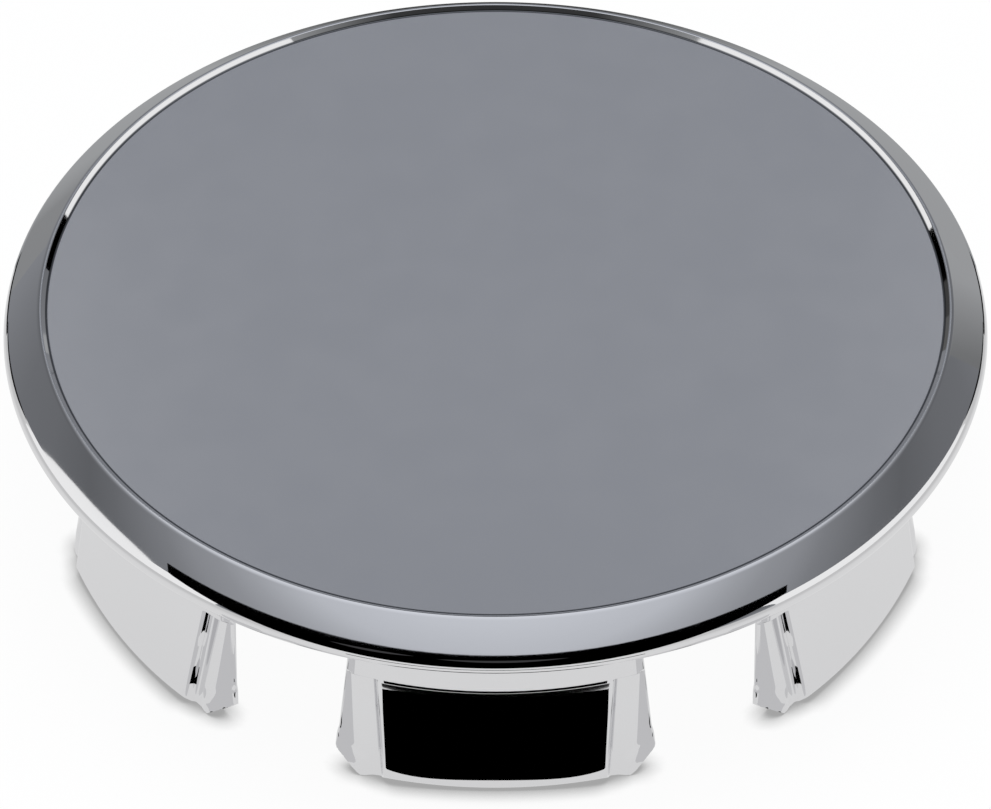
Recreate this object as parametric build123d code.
from build123d import *
import math
import os

# Wheel centre cap: one bright-plated moulding with a round face and six snap legs.
# The feet stand on z = 0 and the cap's axis is Z. One leg points to -Y. All sizes are in millimetres.

# Face, ring and flange
flange_diameter = 83.0
ring_width = 3.65          # flange's edge in to the emblem seat
rim_radius = 1.2           # round outer edge of the flange
rim_drop = 2.7             # emblem seat down to the middle of the round edge
seat_height = 21.5         # feet up to the emblem seat
seat_recess = 0.45         # crest of the ring above the emblem seat
seat_wall_run = 0.55       # plan width of the wall round the emblem seat
crest_chamfer = 0.12       # narrow flat along the top of the ring
web_thickness = 2.2        # wall behind the emblem seat
land_relief = 0.3          # seat land below the rest of the flange's underside
land_clearance = 0.4       # seat land outside the widest point of the legs
flange_lap = 1.5           # flange's thick part inside the backs of the legs
step_chamfer = 0.5         # inner corner between web and flange

# Snap legs, in three levels: root at the flange, crease where the pads start to lean out, and foot
leg_count = 6
flange_overhang = 6.1      # flange's edge outside the round neck band above the pads
crease_height = 10.2
root_overlap = 0.5         # how far a leg runs into the flange
neck_width_root = 22.6     # round face of the neck band
pad_width_crease = 19.8
pad_width_foot = 18.6
pad_lean = 1.1             # middle of a pad outside the neck band, at the foot
pad_bow = 0.7              # rise of a pad's face across its width, at the foot
foot_lead_in = 0.45        # turned slope at the foot of a pad, in the middle of its face
wing_step = 1.0            # pad's edge outside the sunk wing beside it, at the crease
wing_draft = 0.2           # slant of the step between pad and wing
wing_setback_crease = 0.35 # wing's edge inside the neck band's edge
wing_setback_foot = 1.0    # wing's edge inside the neck band, at the foot
wing_rise_foot = 0.25      # wing beside the pad outside the wing's edge
wing_run_crease = 2.0      # pad's edge out to the wing's edge, across the leg
wing_run_foot = 2.4
bevel_depth_root = 0.55    # leg's oblique ends, measured towards the axis
bevel_depth_crease = 0.4
bevel_depth_foot = 1.3
bevel_run_root = 0.45      # wing's edge out to the leg's end, across the leg
bevel_run_crease = 0.55
bevel_run_foot = 1.75
end_depth = 0.4            # square rear part of the leg's ends
back_bow = 1.0             # hollow of the leg's back across its width

# Feet of a leg
foot_bevel_run = 2.2       # bevelled lower corners of a leg
foot_bevel_rise = 2.0
foot_band_start = 0.6      # pad's edge out to the start of the low band
foot_band_height = 2.0     # low band along the lower edge of the wings and the leg's ends
foot_band_proud = 0.12

flange_radius = flange_diameter / 2
seat_radius = flange_radius - ring_width
rim_center_r = flange_radius - rim_radius
rim_center_z = seat_height - rim_drop
land_z = rim_center_z - rim_radius
underside_z = land_z + land_relief
root_z = underside_z + root_overlap
web_z = seat_height - web_thickness
neck_radius = flange_radius - flange_overhang
pad_reach = neck_radius + pad_lean
pad_edge_reach = pad_reach - pad_bow
wing_edge_foot = neck_radius - wing_setback_foot
wing_half_foot = pad_width_foot / 2 + wing_run_foot
neck_width_crease = pad_width_crease + 2 * wing_run_crease
leg_half_foot = wing_half_foot + bevel_run_foot
foot_corners = [
    (pad_reach, 0),
    (pad_edge_reach, pad_width_foot / 2),
    (wing_edge_foot + foot_band_proud, wing_half_foot + foot_band_proud),
    (wing_edge_foot - bevel_depth_foot + foot_band_proud, leg_half_foot + foot_band_proud),
]
land_inner_radius = max(math.hypot(reach, y) for reach, y in foot_corners) + land_clearance


def chord_reach(radius, width):
    """Distance from the axis to a chord of the given width on a circle about the axis."""
    return math.sqrt(radius**2 - (width / 2) ** 2)


def shell():
    """Round face, ring and flange, turned about the axis."""
    leg_back = chord_reach(neck_radius, neck_width_root) - bevel_depth_root - end_depth
    ring_inner_radius = leg_back - flange_lap
    crest_r = seat_radius + seat_wall_run
    crest_z = seat_height + seat_recess
    run = rim_center_r - crest_r
    fall = crest_z - rim_center_z
    bevel_slope = math.atan2(fall, run) - math.asin(rim_radius / math.hypot(run, fall))

    def on_rim(angle):
        return (rim_center_r + rim_radius * math.cos(angle), rim_center_z + rim_radius * math.sin(angle))

    bevel_end = on_rim(math.pi / 2 - bevel_slope)
    nose = on_rim(-bevel_slope / 2)
    rim_foot = on_rim(-math.pi / 2)
    top = Polyline((0, web_z), (0, seat_height), (seat_radius, seat_height), (crest_r, crest_z), bevel_end)
    edge = ThreePointArc(bevel_end, nose, rim_foot)
    below = Polyline(
        rim_foot,
        (land_inner_radius, land_z),
        (land_inner_radius, underside_z),
        (ring_inner_radius, underside_z),
        (ring_inner_radius, web_z - step_chamfer),
        (ring_inner_radius - step_chamfer, web_z),
        (0, web_z),
    )
    profile = make_face([*top.edges(), edge, *below.edges()])
    crest = profile.vertices().sort_by_distance((crest_r, crest_z))[0]
    profile = chamfer(crest, crest_chamfer)
    return revolve(Plane.XZ * profile, Axis.Z)


def leg_section(z, face_middle, one_side):
    """Plan outline of a leg at height z from the corners of one side: bowed face, end and hollow back."""
    other_side = [(reach, -y) for reach, y in one_side]
    back_edge = one_side[-1][0]
    face = ThreePointArc(other_side[0], (face_middle, 0), one_side[0])
    back = ThreePointArc(one_side[-1], (back_edge + back_bow, 0), other_side[-1])
    sides = [*Polyline(*one_side).edges(), *Polyline(*other_side).edges()]
    return Plane.XY.offset(z) * make_face([face, back, *sides])


def neck_section(z, width, bevel_depth, bevel_run):
    """Outline of a leg above the crease, where its face is part of the round neck band."""
    edge = chord_reach(neck_radius, width)
    bevel_reach = edge - bevel_depth
    end_y = width / 2 + bevel_run
    return leg_section(z, neck_radius, [(edge, width / 2), (bevel_reach, end_y), (bevel_reach - end_depth, end_y)])


def pad_section(z, face_middle, pad_edge, pad_width, wing_inner, wing_edge, wing_run, bevel_depth, bevel_run, proud):
    """Outline of a leg below the crease: pad, step, sunk wing and oblique end."""
    bevel_reach = wing_edge - bevel_depth
    back_edge = bevel_reach - end_depth
    if proud > 0:
        back_edge = bevel_reach - end_depth / 2
    pad_y = pad_width / 2
    wing_y = pad_y + wing_run + proud
    end_y = wing_y + bevel_run
    one_side = [
        (pad_edge, pad_y),
        (wing_inner + proud, pad_y + wing_draft),
        (wing_edge + proud, wing_y),
        (bevel_reach + proud / 2, end_y),
        (back_edge, end_y),
    ]
    return leg_section(z, face_middle, one_side)


def leg_neck():
    """Upper part of a leg, from the flange to the crease."""
    root = neck_section(root_z, neck_width_root, bevel_depth_root, bevel_run_root)
    crease = neck_section(
        crease_height, neck_width_crease, wing_setback_crease + bevel_depth_crease, bevel_run_crease
    )
    return loft([root, crease], ruled=True)


def leg_pad(proud=0.0):
    """Lower part of a leg without its foot bevels; its wings and ends stand out by the proud amount."""
    pad_edge = chord_reach(neck_radius, pad_width_crease)
    wing_edge = chord_reach(neck_radius, neck_width_crease) - wing_setback_crease
    crease = pad_section(
        crease_height,
        neck_radius,
        pad_edge,
        pad_width_crease,
        pad_edge - wing_step,
        wing_edge,
        wing_run_crease,
        bevel_depth_crease,
        bevel_run_crease,
        proud,
    )
    foot = pad_section(
        0,
        pad_reach,
        pad_edge_reach,
        pad_width_foot,
        wing_edge_foot + wing_rise_foot,
        wing_edge_foot,
        wing_run_foot,
        bevel_depth_foot,
        bevel_run_foot,
        proud,
    )
    return loft([crease, foot], ruled=True)


def over_the_foot(side, points):
    """Prism over an outline of width and height, through one side of a leg."""
    outline = [(side * y, z) for y, z in points]
    return extrude(Plane.YZ * make_face(Polyline(*outline, close=True)), flange_radius)


def lead_in():
    """Turned ring that slopes the foot of a pad towards the axis, so that the leg slides into its bore."""
    start = pad_reach - foot_lead_in
    slope = make_face(Polyline((start, 0), (flange_radius, 0), (flange_radius, flange_radius - start), close=True))
    sector = 360 / leg_count
    return Rot(0, 0, -sector / 2) * revolve(Plane.XZ * slope, Axis.Z, sector)


def snap_leg():
    """One leg, standing on +X."""
    bevel_start = leg_half_foot - foot_bevel_run
    bevel_end = leg_half_foot + foot_bevel_run
    band_start = pad_width_foot / 2 + foot_band_start
    band_top = foot_band_height + 2 * foot_bevel_rise
    corner = [(bevel_start, 0), (bevel_end, 0), (bevel_end, 2 * foot_bevel_rise)]
    band = [
        (band_start, 0),
        (bevel_end, 0),
        (bevel_end, band_top),
        (bevel_start, foot_band_height),
        (band_start, foot_band_height),
    ]
    leg = leg_pad() - lead_in() + leg_neck()
    wide_pad = leg_pad(foot_band_proud)
    for side in (1, -1):
        leg = leg + (wide_pad & over_the_foot(side, band))
    for side in (1, -1):
        leg = leg - over_the_foot(side, corner)
    return leg


leg = snap_leg()
cap = shell()
for turn in PolarLocations(0, leg_count, start_angle=-90):
    cap = cap + turn * leg

os.makedirs("parts", exist_ok=True)
export_step(cap, "parts/centre_cap.step")
